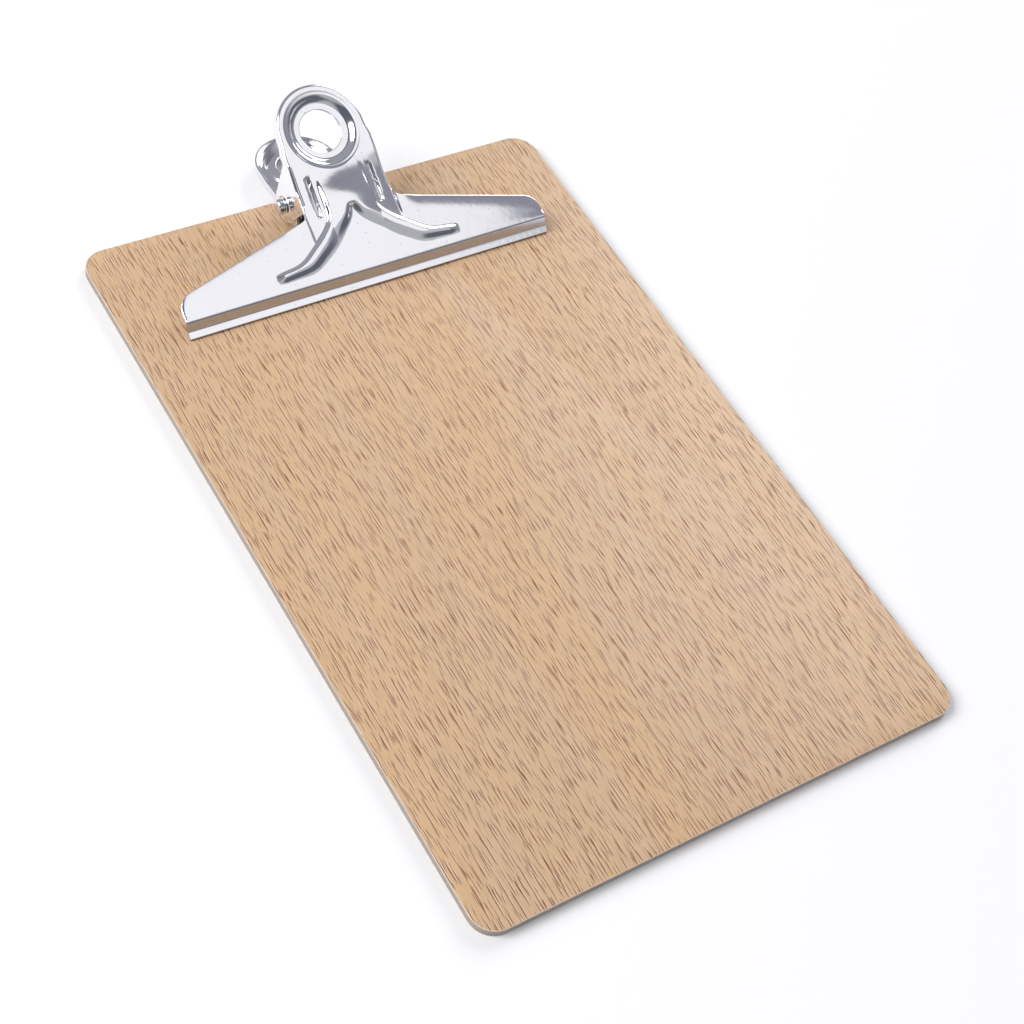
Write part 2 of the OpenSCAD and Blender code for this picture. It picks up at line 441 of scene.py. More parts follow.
@dataclass(frozen=True)
class Handle:
    """A ring handle with a bent rim and two bored walls, shared by the jaw and the base plate.

    Attributes:
        spine: side view of the sheet's outer face.
        sheet: thickness of the sheet.
        neck: half the width of the neck.
        start_s: distance along the spine where the walls start.
        wall_s: distance along the rim's lower edge where the wall behind the pin ends.
        ring_s: distance to the ring's centre.
        taper: length over which the neck narrows to the ring.
        radius: outer radius of the ring.
        hole: radius of the ring's hole.
        bend: bend radius between the plate and the rim.
        rim: depth of the rim.
        lean: how far the wall's front edge leans back for each millimetre of depth.
        dish: depth of the sunk inner ring.
        slope: outer and inner radius of the dish's slope.
        pivot: (y, z) of the hinge pin.
        bore: radius of the pin's hole.
        boss: radius of the wall round the pin.
        relief: height of the plate's raised features at (x, s).
        growth: length over which the bend grows from nothing at the walls' start.
        edge: width of the fine rows of faces beside a hole.
        wall_steps: count of steps along a wall's upper edge.
        ring_steps: count of steps round the handle's end.
        bead: height of the low bead round the bore.
        bead_ring: radius of the bead's crest and half its width.
        bead_end: radius where the wall's round rows of faces end.
    """

    spine: Spine
    sheet: float
    neck: float
    start_s: float
    wall_s: float
    ring_s: float
    taper: float
    radius: float
    hole: float
    bend: float
    rim: float
    lean: float
    dish: float
    slope: tuple[float, float]
    pivot: tuple[float, float]
    bore: float
    boss: float
    relief: Callable[[Array, Array], Array]
    growth: float = 2.0
    edge: float = 0.3
    wall_steps: int = 36
    ring_steps: int = 96
    bead: float = 0.2
    bead_ring: tuple[float, float] = (3.2, 0.6)
    bead_end: float = 3.9

    def side_s(self) -> Array:
        """Distances along the spine of the points on the handle's straight side."""
        narrow_s = self.ring_s - self.taper
        return runs((self.start_s, self.wall_s, self.wall_steps), (self.wall_s, narrow_s, 5),
                    (narrow_s, self.ring_s, 10))

    def outline(self) -> tuple[Array, Array, Array, Array]:
        """Points round the handle from its right start to its left one.

        The side is a straight line, then moves in by a smooth step over the taper, and the end
        is half a circle. The bend grows from nothing, so that the plate's own edge runs on into
        the rim without a notch.

        Returns:
            Points (x, s) of the outline, directions outwards, bend radii, and each point's
            share of the wall's lean.
        """
        s = self.side_s()
        drop = self.neck - self.radius
        t = (s - self.ring_s + self.taper) / self.taper
        x = self.neck - drop * smooth(t)
        steep = np.where((t > 0) & (t < 1), drop * 6 * t * (1 - t) / self.taper, 0.0)
        out = np.stack([np.ones_like(s), steep], -1)
        out = out / np.linalg.norm(out, axis=1, keepdims=True)
        angles = np.linspace(0, math.pi, self.ring_steps + 1)[1:-1]
        ring = circle((0.0, self.ring_s), self.radius, angles)
        side = np.stack([x, s], -1)
        mirror = np.array([-1.0, 1.0])
        points = np.concatenate([side, ring, side[::-1] * mirror])
        outward = np.concatenate([out, circle((0.0, 0.0), 1.0, angles), out[::-1] * mirror])
        bend = self.bend * smooth((s - self.start_s) / self.growth)
        lean = np.clip((self.wall_s - s) / (self.wall_s - self.start_s), 0.0, 1.0)
        flat = np.zeros(angles.size)
        return (points, outward, np.concatenate([bend, flat + self.bend, bend[::-1]]),
                np.concatenate([lean, flat, lean[::-1]]))

    def depth(self, x: Array, s: Array) -> Array:
        """Depth of the plate's outer face: the dish and a small crease, less the relief.

        The crease takes a small share of the dish's depth, in a ring just outside its slope.

        Args:
            x: distance to the right of the middle.
            s: distance along the spine.

        Returns:
            The depth at each point.
        """
        r = np.hypot(x, s - self.ring_s)
        outside, inside = self.slope
        crease, lead, width = 0.12, 1.0, 0.9
        slope = (1.0 - crease) * smooth((outside - r) / (outside - inside))
        return self.dish * (slope + crease * smooth((outside + lead - r) / width)) - self.relief(x, s)

    def add_plate(self, sheet: PressedSheet, x: Array, s: Array, closed: bool = False,
                  gap: Array | None = None) -> None:
        """Adds a grid that lies in the plate.

        Args:
            sheet: the sheet that grows.
            x: distance to the right of the middle, rows x columns.
            s: distance along the spine, rows x columns.
            closed: True if each row's last point joins its first.
            gap: True at points that lie in a hole.
        """
        depth = self.depth(x, s)
        sheet.add(self.spine.place(x, s, depth), self.spine.place(x, s, depth + self.sheet), closed, gap)

    def add_ring(self, sheet: PressedSheet, front_x: Array) -> None:
        """Adds the plate round the hole, from circles at the hole to the handle's outline.

        Each line of points leaves the ring's centre in a straight line towards its own point on
        the outline.

        Args:
            sheet: the sheet that grows.
            front_x: x of the points on the handle's front line, from left to right.
        """
        points, outward, bend, _ = self.outline()
        front = np.stack([front_x[1:-1], np.full(front_x.size - 2, self.start_s)], -1)
        border = np.concatenate([points - bend[:, None] * outward, front])
        away = border - np.array([0.0, self.ring_s])
        reach = np.linalg.norm(away, axis=1)
        inside = self.radius - self.bend - 0.5
        rings = runs((self.hole, self.hole + self.edge, 2), (self.hole + self.edge, inside, 24))
        share = np.linspace(0.0, 1.0, 17)[1:]
        radius = np.concatenate([np.broadcast_to(rings[:, None], (rings.size, reach.size)),
                                 inside + (reach - inside) * share[:, None]])
        grid = np.array([0.0, self.ring_s]) + away / reach[:, None] * radius[..., None]
        grid[-1] = border
        self.add_plate(sheet, grid[..., 0], grid[..., 1], closed=True)

    def rim_rows(self) -> tuple[Array, Array]:
        """The bent rim as rows from the plate's border to the rim's lower edge.

        In the bend, a point stands r sin(a) outside the border and r (1 - cos(a)) below the
        plate as a goes from 0 to 90 degrees. The inner face has the sheet's thickness less.

        Returns:
            The outer and the inner face, as rows x columns x (x, s, depth).
        """
        points, outward, bend, lean = self.outline()
        border = points - bend[:, None] * outward
        turn = np.linspace(0.0, math.pi / 2, 7)[:, None]
        drop = np.linspace(0.0, 1.0, 6)[1:, None]
        level = self.depth(border[:, 0], border[:, 1])
        faces = []
        for thickness in (0.0, self.sheet):
            r = bend - thickness
            out = np.concatenate([r * np.sin(turn), np.broadcast_to(r, (drop.size, r.size))])
            down = np.concatenate([bend - r * np.cos(turn), bend + (self.rim - bend) * drop])
            down = down + level * (1 - smooth(down / self.rim))
            place = border + out[..., None] * outward
            shift = self.lean * down * lean
            faces.append(np.stack([place[..., 0], place[..., 1] + shift, down], -1))
        return faces[0], faces[1]

    def add_walls(self, sheet: PressedSheet) -> None:
        """Adds the rim and the two walls with their bores.

        A wall is a fan of straight lines from the bore to its outline: the rim's edge, a line
        that touches the boss, the boss, and a line back to the rim's edge. Round the bore runs
        a low bead of height bead * (1 - ((r - crest) / half)^2)^2.

        Args:
            sheet: the sheet that grows.
        """
        outer, inner = self.rim_rows()
        outside = self.spine.place(outer[..., 0], outer[..., 1], outer[..., 2])
        inside = self.spine.place(inner[..., 0], inner[..., 1], inner[..., 2])
        sheet.add(outside, inside)
        edge = outside[-1, :self.wall_steps + 1, 1:] - np.array(self.pivot)
        turn = self.spine.turn
        leave = touch(edge[-1], self.boss, int(-turn))
        arrive = touch(edge[0], self.boss, int(turn))
        first, last = (math.atan2(p[1], p[0]) for p in (leave, arrive))
        sweep = -turn * ((-turn * (last - first)) % (2 * math.pi))
        boss = circle((0.0, 0.0), self.boss, first + sweep * np.linspace(0, 1, 33))
        side = np.linspace(0.0, 1.0, 13)[1:-1, None]
        border = np.concatenate([edge, edge[-1] + (leave - edge[-1]) * side, boss,
                                 arrive + (edge[0] - arrive) * side])
        reach = np.linalg.norm(border, axis=1)
        rings = runs((self.bore, self.bore + self.edge, 2), (self.bore + self.edge, self.bead_end, 9))
        share = np.linspace(0.0, 1.0, 9)[1:]
        radius = np.concatenate([np.broadcast_to(rings[:, None], (rings.size, reach.size)),
                                 self.bead_end + (reach - self.bead_end) * share[:, None]])
        grid = border / reach[:, None] * radius[..., None]
        grid[-1] = border
        crest, half = self.bead_ring
        bead = self.bead * np.clip(1 - ((radius - crest) / half) ** 2, 0.0, 1.0) ** 2
        for side_of in Side:
            faces = [np.concatenate([(side_of.value * (self.neck + bead - thickness))[..., None],
                                     grid + np.array(self.pivot)], -1) for thickness in (0.0, self.sheet)]
            sheet.add(faces[0], faces[1], closed=True)


def turned(profile: Array, steps: int) -> tuple[Array, Array]:
    """A profile turned round an axis: point (a, r) becomes (a, r cos t, r sin t).

    Args:
        profile: rows of distance along the axis and radius, from one end to the other.
        steps: count of points round the axis.

    Returns:
        Points with the axis first, and faces that look outwards where the profile runs
        anticlockwise round the solid.
    """
    angle = np.linspace(0.0, 2 * math.pi, steps, endpoint=False)
    along = np.broadcast_to(profile[:, :1], (profile.shape[0], steps))
    radius = profile[:, 1:]
    points = np.stack([along, radius * np.cos(angle), radius * np.sin(angle)], -1).reshape(-1, 3)
    kept, faces = weld(points, grid_faces(profile.shape[0], steps, closed=True))
    return points[kept], faces


def rounded(corners: Array, radius: float) -> Array:
    """Rounds the inner corners of a profile with short arcs.

    An arc is drawn as the curve (1-t)^2 a + 2t(1-t) c + t^2 b, with a and b a radius away from
    the corner c along its two sides.

    Args:
        corners: the profile's corners, one row each.
        radius: distance from a corner at which its arc starts, at most 0.45 of a side.

    Returns:
        The profile with four steps at each corner.
    """
    before, corner, after = corners[:-2], corners[1:-1], corners[2:]
    ends = []
    for other in (before, after):
        way = other - corner
        length = np.linalg.norm(way, axis=1, keepdims=True)
        ends.append(corner + way / length * np.minimum(radius, 0.45 * length))
    t = np.linspace(0.0, 1.0, 5)[None, :, None]
    arcs = (1 - t) ** 2 * ends[0][:, None] + 2 * t * (1 - t) * corner[:, None] + t**2 * ends[1][:, None]
    return np.concatenate([corners[:1], arcs.reshape(-1, 2), corners[-1:]])


# ---------------------------------------------------------------------------
# Finishes
# ---------------------------------------------------------------------------


class Wiring:
    """Adds shader nodes to one node tree and joins them."""

    def __init__(self, tree: bpy.types.NodeTree) -> None:
        """Starts on a tree, which is emptied.

        Args:
            tree: the material's or group's node tree.
        """
        self.tree = tree
        tree.nodes.clear()

    def node(self, kind: str, inputs: dict[str | int, object], **settings: object) -> bpy.types.Node:
        """Adds a node.

        Args:
            kind: the node's type.
            inputs: a value or another node's output for each input, by name or number.
            settings: the node's own properties.

        Returns:
            The new node.
        """
        node = self.tree.nodes.new(kind)
        for key, value in settings.items():
            setattr(node, key, value)
        for key, value in inputs.items():
            if isinstance(value, bpy.types.NodeSocket):
                self.tree.links.new(value, node.inputs[key])
            else:
                node.inputs[key].default_value = value
        return node

    def math(self, operation: str, *values: object) -> bpy.types.NodeSocket:
        """Adds a Math node on the values and returns its output."""
        return self.node("ShaderNodeMath", dict(enumerate(values)), operation=operation).outputs[0]

    def vector(self, operation: str, *values: object) -> bpy.types.NodeSocket:
        """Adds a Vector Math node on the values and returns its vector."""
        return self.node("ShaderNodeVectorMath", dict(enumerate(values)), operation=operation).outputs[0]

    def length(self, value: object) -> bpy.types.NodeSocket:
        """Adds a Vector Math node and returns the vector's length."""
        return self.node("ShaderNodeVectorMath", {0: value}, operation="LENGTH").outputs["Value"]

    def ramp(self, value: object, low: float, high: float, to_low: float = 0.0,
             to_high: float = 1.0) -> bpy.types.NodeSocket:
        """Adds a smooth step of a value.

        Args:
            value: the value to map.
            low: where the step starts.
            high: where it ends.
            to_low: the result at low.
            to_high: the result at high.

        Returns:
            The step's output.
        """
        return self.node("ShaderNodeMapRange", {"Value": value, "From Min": low, "From Max": high,
                                                "To Min": to_low, "To Max": to_high},
                         interpolation_type="SMOOTHSTEP").outputs["Result"]

    def mix(self, share: object, first: object, second: object) -> bpy.types.NodeSocket:
        """Adds a colour mix and returns its output."""
        return self.node("ShaderNodeMix", {0: share, 6: first, 7: second}, data_type="RGBA").outputs[2]

    def noise(self, vector: object, scale: tuple[float, float, float],
              detail: float = 2.0) -> bpy.types.NodeSocket:
        """Adds noise on a stretched vector.

        Args:
            vector: the place, in millimetres.
            scale: features for each millimetre along X, Y and Z.
            detail: count of finer layers.

        Returns:
            The noise, about 0.5 on average.
        """
        stretched = self.vector("MULTIPLY", vector, scale)
        return self.node("ShaderNodeTexNoise", {"Vector": stretched, "Scale": 1.0, "Detail": detail},
                         noise_dimensions="3D").outputs["Fac"]


class Surface(Wiring):
    """A shader node group that turns a place into a colour, a roughness and a height.

    Attributes:
        given: the group's inputs by name.
        place: the place in millimetres.
    """

    def __init__(self, name: str, inputs: dict[str, str]) -> None:
        """Starts the group with its sockets.

        Args:
            name: the group's name.
            inputs: socket type of each input besides the place.
        """
        tree = bpy.data.node_groups.new(name, "ShaderNodeTree")
        inputs = {"Vector": "Vector", **inputs}
        outputs = {"Colour": "Color", "Roughness": "Float", "Height": "Float"}
        for way, sockets in (("INPUT", inputs), ("OUTPUT", outputs)):
            for label, kind in sockets.items():
                tree.interface.new_socket(name=label, in_out=way, socket_type="NodeSocket" + kind)
        super().__init__(tree)
        entry = self.node("NodeGroupInput", {})
        self.given = {label: entry.outputs[label] for label in inputs}
        self.place = self.vector("MULTIPLY", self.given["Vector"], (1 / MM, 1 / MM, 1 / MM))

    def finish(self, colour: object, roughness: object, height: object) -> bpy.types.NodeTree:
        """Joins the three results to the group's outputs.

        Args:
            colour: the surface's colour.
            roughness: its roughness.
            height: its height, about -1 to 1.

        Returns:
            The group.
        """
        self.node("NodeGroupOutput", {"Colour": colour, "Roughness": roughness, "Height": height})
        return self.tree


@dataclass(frozen=True)
class PoreLayer:
    """One layer of wood pores.

    Attributes:
        cell: size of the cell that holds one pore, along X and Y, in millimetres.
        half: half the size of a long pore.
        offset: shift of the layer's cells.
        strength: how dark its pores are.
    """

    cell: tuple[float, float]
    half: tuple[float, float]
    offset: float
    strength: float


PORE_LAYERS = (PoreLayer((1.3, 8.0), (0.14, 3.0), 0.0, 1.0),
               PoreLayer((1.1, 5.0), (0.12, 1.9), 37.3, 0.85),
               PoreLayer((1.8, 12.0), (0.14, 4.6), 91.7, 1.0))


def pore_masks(wire: Wiring, place: object,
               layer: PoreLayer) -> tuple[bpy.types.NodeSocket, bpy.types.NodeSocket]:
    """Marks one layer's pores and the painted highlight beside each.

    A pore is an ellipse about the random point of a stretched cell. The cell's random colour
    sets its length, from 0.45 to 1.15 of the layer's own, and how much it shows.

    Args:
        wire: the group's wiring.
        place: the place in millimetres.
        layer: the layer.

    Returns:
        The pores' mask and the mask of the painted highlights.
    """
    cell, half = layer.cell, layer.half
    scaled = wire.vector("MULTIPLY", wire.vector("ADD", place, (layer.offset, layer.offset, 0.0)),
                         (1 / cell[0], 1 / cell[1], 0.0))
    cells = wire.node("ShaderNodeTexVoronoi", {"Vector": scaled, "Scale": 1.0, "Randomness": 1.0},
                      voronoi_dimensions="2D", feature="F1")
    chance = wire.node("ShaderNodeSeparateColor", {0: cells.outputs["Color"]})
    away = wire.vector("SUBTRACT", scaled, cells.outputs["Position"])
    away = wire.vector("MULTIPLY", away, (cell[0] / half[0], cell[1] / half[1], 0.0))
    span = wire.math("MULTIPLY_ADD", chance.outputs[0], 0.7, 0.45)
    stretch = wire.node("ShaderNodeCombineXYZ", {"X": 1.0, "Y": wire.math("DIVIDE", 1.0, span)}).outputs[0]
    away = wire.vector("MULTIPLY", away, stretch)
    weight = wire.math("MULTIPLY", wire.ramp(chance.outputs[1], 0.0, 0.6, 0.2, 1.0), layer.strength)
    # Painted highlight: a pale patch on the +X side of each pore stands in for light caught at its edge.
    beside = wire.vector("SUBTRACT", away, (1.9, 0.0, 0.0))
    return (wire.math("MULTIPLY", wire.ramp(wire.length(away), 1.1, 0.75), weight),
            wire.math("MULTIPLY", wire.ramp(wire.length(beside), 1.1, 0.4), weight))


def beech_group() -> bpy.types.NodeTree:
    """Builds the beech grain: soft bands, fine fibres and short dark pores along Y, each pore with a painted
    highlight beside it.

    A slow noise bends all the lines a little.

    Returns:
        The node group.
    """
    wire = Surface("beech_grain", {"Pores": "Float", "Ground": "Color", "Band": "Color", "Pore": "Color",
                                   "Streak": "Color"})
    given = wire.given
    wander = wire.math("MULTIPLY_ADD", wire.noise(wire.place, (0.03, 0.012, 0.02), 0.0), 2.0, -1.0)
    place = wire.vector("ADD", wire.place, wire.node("ShaderNodeCombineXYZ", {"X": wander}).outputs[0])
    masks = [pore_masks(wire, place, layer) for layer in PORE_LAYERS]
    pores, pore_highlights = (functools.reduce(lambda one, other: wire.math("MAXIMUM", one, other), layers)
                      for layers in zip(*masks))
    bands = wire.ramp(wire.noise(place, (0.075, 0.006, 0.05), 3.0), 0.35, 0.68)
    fibres = wire.ramp(wire.noise(place, (2.4, 0.12, 1.0), 2.0), 0.3, 0.7, -0.5, 0.5)
    mottle = wire.ramp(wire.noise(place, (0.5, 0.16, 0.3), 2.0), 0.3, 0.7, -0.5, 0.5)
    shade = wire.math("MULTIPLY_ADD", fibres, 0.12, wire.math("MULTIPLY", mottle, 0.03))
    bright = wire.math("ADD", 1.0, shade)
    grey = wire.node("ShaderNodeCombineColor", {0: bright, 1: bright, 2: bright}).outputs[0]
    colour = wire.node("ShaderNodeMix", {0: 1.0, 6: wire.mix(bands, given["Ground"], given["Band"]), 7: grey},
                       data_type="RGBA", blend_type="MULTIPLY").outputs[2]
    # Painted highlight: pale colour mixed in beside each pore.
    colour = wire.mix(wire.math("MULTIPLY", pore_highlights, 0.65), colour, given["Streak"])
    return wire.finish(wire.mix(wire.math("MULTIPLY", pores, given["Pores"]), colour, given["Pore"]),
                       wire.math("MULTIPLY_ADD", pores, 0.12, 0.44),
                       wire.math("MULTIPLY_ADD", fibres, 0.15, wire.math("MULTIPLY", pores, -1.0)))


def plating_group() -> bpy.types.NodeTree:
    """Builds the plated surface: faint clouds, scattered specks and a slight ripple.

    The lip's steep wall, between two heights in front of the crease, gets painted shade: its colour is mixed
    towards the specks' colour.

    Returns:
        The node group.
    """
    wire = Surface("plated_metal", {"Metal": "Color", "Speck": "Color", "Polish": "Float", "Specks": "Float",
                                    "Dull": "Float", "Dull Low": "Float", "Dull High": "Float",
                                    "Dull Front": "Float"})
    place, given = wire.place, wire.given
    cells = wire.node("ShaderNodeTexVoronoi", {"Vector": place, "Scale": 0.75, "Randomness": 1.0},
                      voronoi_dimensions="3D", feature="F1")
    chance = wire.node("ShaderNodeSeparateColor", {0: cells.outputs["Color"]})
    specks = wire.math("MULTIPLY", wire.ramp(cells.outputs["Distance"], 0.22, 0.08),
                       wire.ramp(chance.outputs[0], 0.72, 0.95))
    clouds = wire.noise(place, (0.09, 0.09, 0.09), 3.0)
    rub = wire.noise(place, (0.35, 2.2, 0.9), 3.0)
    parts = wire.node("ShaderNodeSeparateXYZ", {0: place})
    # Painted shade: a mask over the lip's steep wall, between two heights and in front of a Y, darkens the
    # metal colour towards the specks' colour.
    above = wire.math("SUBTRACT", parts.outputs["Z"], given["Dull Low"])
    below = wire.math("SUBTRACT", given["Dull High"], parts.outputs["Z"])
    before = wire.math("SUBTRACT", given["Dull Front"], parts.outputs["Y"])
    wall = wire.ramp(wire.math("MINIMUM", above, below), -0.25, 0.25)
    wall = wire.math("MULTIPLY", wire.math("MULTIPLY", wall, wire.ramp(before, -0.2, 0.2)), given["Dull"])
    dull = wire.mix(wall, given["Metal"], given["Speck"])
    rough = wire.math("ADD", wire.math("MULTIPLY", wire.math("ADD", clouds, rub), 0.06), given["Polish"])
    return wire.finish(wire.mix(wire.math("MULTIPLY", specks, given["Specks"]), dull, given["Speck"]),
                       wire.math("ADD", rough, wire.math("MULTIPLY", specks, 0.15)),
                       wire.math("MULTIPLY_ADD", specks, -0.4, wire.noise(place, (0.5, 0.5, 0.5), 1.0)))


def board_edge_group() -> bpy.types.NodeTree:
    """Builds the sawn edge of the board: fine fibre flecks in two colours.

    Returns:
        The node group.
    """
    wire = Surface("sawn_edge", {"Ground": "Color", "Fleck": "Color"})
    flecks = wire.ramp(wire.noise(wire.place, (1.3, 1.3, 5.0), 4.0), 0.42, 0.62)
    share = wire.math("MULTIPLY", flecks, wire.noise(wire.place, (0.05, 0.05, 3.0), 2.0))
    return wire.finish(wire.mix(share, wire.given["Ground"], wire.given["Fleck"]),
                       wire.math("MULTIPLY_ADD", flecks, 0.2, 0.6), flecks)


class Shop:
    """Keeps the shared node groups, each made once."""

    def __init__(self) -> None:
        """Starts with no groups."""
        self.groups: dict[Callable[[], bpy.types.NodeTree], bpy.types.NodeTree] = {}

    def group(self, maker: Callable[[], bpy.types.NodeTree]) -> bpy.types.NodeTree:
        """The group that a maker builds, built the first time it is asked for."""
        if maker not in self.groups:
            self.groups[maker] = maker()
        return self.groups[maker]

    def material(self, name: str, maker: Callable[[], bpy.types.NodeTree], values: dict[str, object],
                 bump: float, **constants: object) -> bpy.types.Material:
        """Makes a material from a group whose colour, roughness and height feed the shader.

        Args:
            name: the material's name.
            maker: builds the group.
            values: the group's inputs.
            bump: height of the surface detail in millimetres.
            constants: values set on the shader's own sockets.

        Returns:
            The material.
        """
        material = bpy.data.materials.new(name)
        material.use_nodes = True
        wire = Wiring(material.node_tree)
        place = wire.node("ShaderNodeTexCoord", {}).outputs["Object"]
        detail = wire.node("ShaderNodeGroup", {}, node_tree=self.group(maker))
        wire.tree.links.new(place, detail.inputs["Vector"])
        for label, value in values.items():
            detail.inputs[label].default_value = (*value, 1.0) if isinstance(value, tuple) else value
        normal = wire.node("ShaderNodeBump", {"Height": detail.outputs["Height"], "Strength": 1.0,
                                              "Distance": bump * MM}).outputs["Normal"]
        shader = wire.node("ShaderNodeBsdfPrincipled", {
            "Base Color": detail.outputs["Colour"], "Roughness": detail.outputs["Roughness"],
            "Normal": normal, **constants})
        wire.node("ShaderNodeOutputMaterial", {"Surface": shader.outputs["BSDF"]})
        return material


@dataclass(frozen=True)
class Beech:
    """Lacquered beech veneer.

    Attributes:
        name: the material's name.
        ground: colour of the wood.
        band: colour of its broad bands.
        pore: colour of the short dark pores.
        streak: colour of the painted highlight beside each pore.
        pores: how strongly the pores show.
        depth: depth of the pores in millimetres.
    """

    name: str = "beech_front"
    ground: Colour = (0.65, 0.432, 0.243)
    band: Colour = (0.638, 0.438, 0.272)
    pore: Colour = (0.24, 0.082, 0.012)
    # Colour of the painted highlight beside each pore.
    streak: Colour = (0.82, 0.66, 0.55)
    pores: float = 1.0
    depth: float = 0.02

    def material(self, shop: Shop) -> bpy.types.Material:
        """Makes the material with the shop's grain."""
        values = {"Ground": self.ground, "Band": self.band, "Pore": self.pore, "Streak": self.streak,
                  "Pores": self.pores}
        return shop.material(self.name, beech_group, values, self.depth)


@dataclass(frozen=True)
class SawnEdge:
    """Edge of the veneer or of the fibreboard core.

    Attributes:
        name: the material's name.
        ground: main colour.
        fleck: colour of the fibres.
        depth: depth of the fibres in millimetres.
    """

    name: str
    ground: Colour
    fleck: Colour
    depth: float = 0.03

    def material(self, shop: Shop) -> bpy.types.Material:
        """Makes the material with the shop's fibre flecks."""
        values = {"Ground": self.ground, "Fleck": self.fleck}
        return shop.material(self.name, board_edge_group, values, self.depth)


@dataclass(frozen=True)
class Plating:
    """Plated or bare bright metal.

    Attributes:
        name: the material's name.
        metal: colour of the metal.
        polish: roughness before clouds and specks.
        specks: how strongly the specks show.
        speck: colour of the specks, and of the painted shade on the lip's wall.
        ripple: height of the surface ripple in millimetres.
        dull: how strongly painted shade darkens the lip's wall towards the specks' colour.
        wall: the heights between which the painted shade's wall lies, and the Y in front of which it lies.
    """

    name: str
    metal: Colour
    polish: float
    specks: float = 0.25
    # Colour of the specks, also used for the painted shade on the lip's wall.
    speck: Colour = (0.30, 0.31, 0.36)
    ripple: float = 0.012
    # Painted shade on the lip's wall: share by which its colour goes towards the specks' colour.
    dull: float = 0.0
    wall: tuple[float, float, float] = (4.9, 7.35, 78.3)

    def material(self, shop: Shop) -> bpy.types.Material:
        """Makes the material with the shop's plated surface.

        Args:
            shop: the shared node groups.

        Returns:
            The new material.
        """
        low, high, front = self.wall
        values = {"Metal": self.metal, "Speck": self.speck, "Polish": self.polish, "Specks": self.specks,
                  "Dull": self.dull, "Dull Low": low, "Dull High": high, "Dull Front": front}
        return shop.material(self.name, plating_group, values, self.ripple, Metallic=1.0)


# ---------------------------------------------------------------------------
# Pieces
# ---------------------------------------------------------------------------


def settle(obj: bpy.types.Object, node: str, slot: str, material: bpy.types.Material,
           body: Body | None) -> None:
    """Dresses a piece and ties it to its node and body.

    Args:
        obj: the piece.
        node: the CAD node that it stands for.
        slot: the record's material slot; not used.
        material: its finish.
        body: the body that it rides on, or None to attach it to neither, as for a spring between the two.
    """
    if not obj.data.materials:
        obj.data.materials.append(material)
    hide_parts(node)
    if body is not None:
        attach(obj, body.value)
    LOG.info("%s: %d faces", obj.name, len(obj.data.polygons))


@dataclass(frozen=True)
class Board:
    """The three layers of the board, each a merged copy of its CAD solid with softened rims.

    Attributes:
        rim: width of the softened rim in millimetres.
        rim_steps: count of faces across it.
        front: finish of the writing face.
        back: finish of the back.
        veneer_edge: finish of the veneers' own thin edges.
        core_edge: finish of the fibreboard between them.
    """

    rim: float = 0.13
    rim_steps: int = 3
    front: Beech = Beech()
    back: Beech = Beech(name="beech_back", ground=(0.60, 0.42, 0.27), band=(0.57, 0.41, 0.27),
                        pores=0.5)
    veneer_edge: SawnEdge = SawnEdge("veneer_edge", (0.80, 0.76, 0.70), (0.66, 0.58, 0.50))
    core_edge: SawnEdge = SawnEdge("core_edge", (0.42, 0.35, 0.30), (0.28, 0.22, 0.18))

    def layer(self, node: bpy.types.Object, name: str,
              materials: list[bpy.types.Material]) -> bpy.types.Object:
        """Copies a layer, merges it and softens its rims.

        A face that looks up or down gets the first finish and any other face the second.

        Args:
            node: the CAD node's object.
            name: the new piece's name.
            materials: finish of the faces, then of the edges.

        Returns:
            The new piece.
        """
        mesh = node.data.copy()
        mesh.name = name
        work = bmesh.new()
        work.from_mesh(mesh)
        bmesh.ops.remove_doubles(work, verts=work.verts, dist=1e-6)
        bmesh.ops.dissolve_limit(work, angle_limit=math.radians(0.5), verts=work.verts, edges=work.edges)
        for face in work.faces:
            face.material_index = int(abs(face.normal.z) < 0.5)
            face.smooth = True
        work.to_mesh(mesh)
        work.free()
        mesh.materials.clear()
        for material in materials:
            mesh.materials.append(material)
        obj = bpy.data.objects.new(name, mesh)
        bpy.context.scene.collection.objects.link(obj)
        bevel = obj.modifiers.new("rim", "BEVEL")
        bevel.width = self.rim * MM
        bevel.segments = self.rim_steps
        bevel.limit_method = "ANGLE"
        bevel.angle_limit = math.radians(50)
        bevel.material = 1
        bevel.harden_normals = True
        return obj

    def build(self, nodes: dict[str, bpy.types.Object], shop: Shop) -> None:
        """Builds and dresses the three layers.

        Args:
            nodes: the CAD nodes' objects by name.
            shop: the shared node groups.
        """
        edge, core = self.veneer_edge.material(shop), self.core_edge.material(shop)
        plan = (("front_veneer", "writing_face_veneer", "beech_face", [self.front.material(shop), edge]),
                ("board_core", "fibreboard_core", "board_edge", [core, core]),
                ("back_veneer", "back_face_veneer", "beech_back", [self.back.material(shop), edge]))
        for node, name, slot, materials in plan:
            piece = self.layer(nodes[node], name, materials)
            settle(piece, node, slot, materials[0], Body.BOARD)


